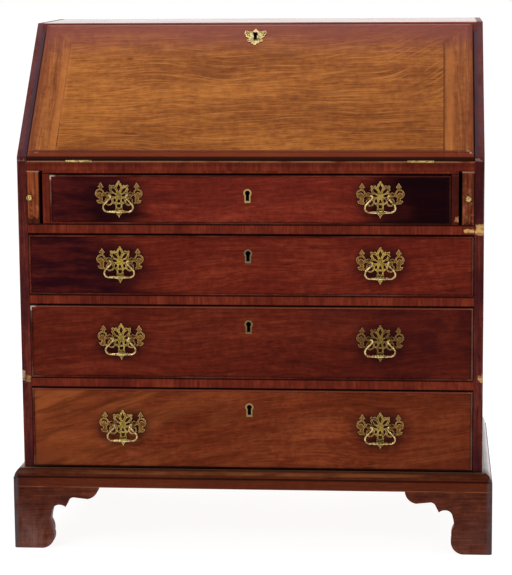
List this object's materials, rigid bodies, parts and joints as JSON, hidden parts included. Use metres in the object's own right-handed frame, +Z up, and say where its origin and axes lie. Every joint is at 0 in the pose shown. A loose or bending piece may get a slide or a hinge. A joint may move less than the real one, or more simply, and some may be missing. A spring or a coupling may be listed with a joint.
{
  "type": "fall-front bureau",
  "caption": "Mahogany bureau: hinged sloping fall over graduated drawers, with pull-out lopers, pierced brass bail handles, locks, a pigeonhole interior and scrolled bracket feet.",
  "frame": {"origin": "on the floor, under the middle of the bounding box", "axes": "+X to the right of someone facing the drawers, +Y to the back, +Z up"},
  "size_m": [0.954, 0.52, 1.038],
  "materials": {
    "mahogany": "waxed polish",
    "oak": "bare, darkened by age",
    "pine": "bare, darkened by age",
    "brass": "worn polish"
  },
  "bodies": {
    "carcase": {"side_left": "mahogany", "side_right": "mahogany", "top_board": "mahogany", "writing_bed": "mahogany", "bottom_board": "pine", "drawer_rails": "mahogany", "dustboards": "pine", "loper_partitions": "mahogany", "drawer_stops": "oak", "back_boards": "pine", "base_moulding": "mahogany", "front_feet": "mahogany", "rear_feet": "mahogany", "bed_hinge_leaves": "brass", "pigeonhole_shelf": "mahogany", "pigeonhole_dividers": "mahogany", "pigeonhole_aprons": "mahogany"},
    "fall": {"fall_panel": "mahogany", "fall_clamps": "mahogany", "fall_hinge_leaves": "brass", "fall_lock": "brass", "fall_escutcheon": "brass"},
    "fall_bolt": {"fall_lock_bolt": "brass"},
    "left_loper": {"loper_left": "mahogany", "loper_left_knob": "brass"},
    "right_loper": {"loper_right": "mahogany", "loper_right_knob": "brass"},
    "drawer_1": {"drawer_1_front": "mahogany", "drawer_1_beads": "mahogany", "drawer_1_box": "oak", "drawer_1_brasses": "brass"},
    "drawer_1_bolt": {"drawer_1_lock_bolt": "brass"},
    "drawer_1_left_bail": {"drawer_1_bail_left": "brass"},
    "drawer_1_right_bail": {"drawer_1_bail_right": "brass"},
    "drawer_2": {"drawer_2_front": "mahogany", "drawer_2_beads": "mahogany", "drawer_2_box": "oak", "drawer_2_brasses": "brass"},
    "drawer_2_bolt": {"drawer_2_lock_bolt": "brass"},
    "drawer_2_left_bail": {"drawer_2_bail_left": "brass"},
    "drawer_2_right_bail": {"drawer_2_bail_right": "brass"},
    "drawer_3": {"drawer_3_front": "mahogany", "drawer_3_beads": "mahogany", "drawer_3_box": "oak", "drawer_3_brasses": "brass"},
    "drawer_3_bolt": {"drawer_3_lock_bolt": "brass"},
    "drawer_3_left_bail": {"drawer_3_bail_left": "brass"},
    "drawer_3_right_bail": {"drawer_3_bail_right": "brass"},
    "drawer_4": {"drawer_4_front": "mahogany", "drawer_4_beads": "mahogany", "drawer_4_box": "oak", "drawer_4_brasses": "brass"},
    "drawer_4_bolt": {"drawer_4_lock_bolt": "brass"},
    "drawer_4_left_bail": {"drawer_4_bail_left": "brass"},
    "drawer_4_right_bail": {"drawer_4_bail_right": "brass"},
    "small_drawer_1": {"small_drawer_1": "mahogany"},
    "small_drawer_2": {"small_drawer_2": "mahogany"},
    "small_drawer_3": {"small_drawer_3": "mahogany"},
    "small_drawer_4": {"small_drawer_4": "mahogany"}
  },
  "joints": [
    {"name": "fall_hinge", "type": "hinge", "parent": "carcase", "child": "fall", "pos_m": [0, -0.24, 0.778], "axis": [1, 0, 0], "range_deg": [0, 134.19]},
    {"name": "fall_lock_slide", "type": "slide", "parent": "fall", "child": "fall_bolt", "axis": [0, 0.6971, 0.717], "range_m": [0, 0.008]},
    {"name": "left_loper_slide", "type": "slide", "parent": "carcase", "child": "left_loper", "axis": [0, -1, 0], "range_m": [0, 0.27]},
    {"name": "right_loper_slide", "type": "slide", "parent": "carcase", "child": "right_loper", "axis": [0, -1, 0], "range_m": [0, 0.27]},
    {"name": "drawer_1_slide", "type": "slide", "parent": "carcase", "child": "drawer_1", "axis": [0, -1, 0], "range_m": [0, 0.34]},
    {"name": "drawer_1_lock_slide", "type": "slide", "parent": "drawer_1", "child": "drawer_1_bolt", "axis": [0, 0, 1], "range_m": [0, 0.008]},
    {"name": "drawer_1_left_bail_swing", "type": "hinge", "parent": "drawer_1", "child": "drawer_1_left_bail", "pos_m": [-0.256, -0.253, 0.7125], "axis": [-1, 0, 0], "range_deg": [0, 90]},
    {"name": "drawer_1_right_bail_swing", "type": "hinge", "parent": "drawer_1", "child": "drawer_1_right_bail", "pos_m": [0.256, -0.253, 0.7125], "axis": [-1, 0, 0], "range_deg": [0, 90]},
    {"name": "drawer_2_slide", "type": "slide", "parent": "carcase", "child": "drawer_2", "axis": [0, -1, 0], "range_m": [0, 0.34]},
    {"name": "drawer_2_lock_slide", "type": "slide", "parent": "drawer_2", "child": "drawer_2_bolt", "axis": [0, 0, 1], "range_m": [0, 0.008]},
    {"name": "drawer_2_left_bail_swing", "type": "hinge", "parent": "drawer_2", "child": "drawer_2_left_bail", "pos_m": [-0.256, -0.253, 0.5825], "axis": [-1, 0, 0], "range_deg": [0, 90]},
    {"name": "drawer_2_right_bail_swing", "type": "hinge", "parent": "drawer_2", "child": "drawer_2_right_bail", "pos_m": [0.256, -0.253, 0.5825], "axis": [-1, 0, 0], "range_deg": [0, 90]},
    {"name": "drawer_3_slide", "type": "slide", "parent": "carcase", "child": "drawer_3", "axis": [0, -1, 0], "range_m": [0, 0.34]},
    {"name": "drawer_3_lock_slide", "type": "slide", "parent": "drawer_3", "child": "drawer_3_bolt", "axis": [0, 0, 1], "range_m": [0, 0.008]},
    {"name": "drawer_3_left_bail_swing", "type": "hinge", "parent": "drawer_3", "child": "drawer_3_left_bail", "pos_m": [-0.256, -0.253, 0.4285], "axis": [-1, 0, 0], "range_deg": [0, 90]},
    {"name": "drawer_3_right_bail_swing", "type": "hinge", "parent": "drawer_3", "child": "drawer_3_right_bail", "pos_m": [0.256, -0.253, 0.4285], "axis": [-1, 0, 0], "range_deg": [0, 90]},
    {"name": "drawer_4_slide", "type": "slide", "parent": "carcase", "child": "drawer_4", "axis": [0, -1, 0], "range_m": [0, 0.34]},
    {"name": "drawer_4_lock_slide", "type": "slide", "parent": "drawer_4", "child": "drawer_4_bolt", "axis": [0, 0, 1], "range_m": [0, 0.008]},
    {"name": "drawer_4_left_bail_swing", "type": "hinge", "parent": "drawer_4", "child": "drawer_4_left_bail", "pos_m": [-0.256, -0.253, 0.2535], "axis": [-1, 0, 0], "range_deg": [0, 90]},
    {"name": "drawer_4_right_bail_swing", "type": "hinge", "parent": "drawer_4", "child": "drawer_4_right_bail", "pos_m": [0.256, -0.253, 0.2535], "axis": [-1, 0, 0], "range_deg": [0, 90]},
    {"name": "small_drawer_1_slide", "type": "slide", "parent": "carcase", "child": "small_drawer_1", "axis": [0, -1, 0], "range_m": [0, 0.15]},
    {"name": "small_drawer_2_slide", "type": "slide", "parent": "carcase", "child": "small_drawer_2", "axis": [0, -1, 0], "range_m": [0, 0.15]},
    {"name": "small_drawer_3_slide", "type": "slide", "parent": "carcase", "child": "small_drawer_3", "axis": [0, -1, 0], "range_m": [0, 0.15]},
    {"name": "small_drawer_4_slide", "type": "slide", "parent": "carcase", "child": "small_drawer_4", "axis": [0, -1, 0], "range_m": [0, 0.15]}
  ]
}
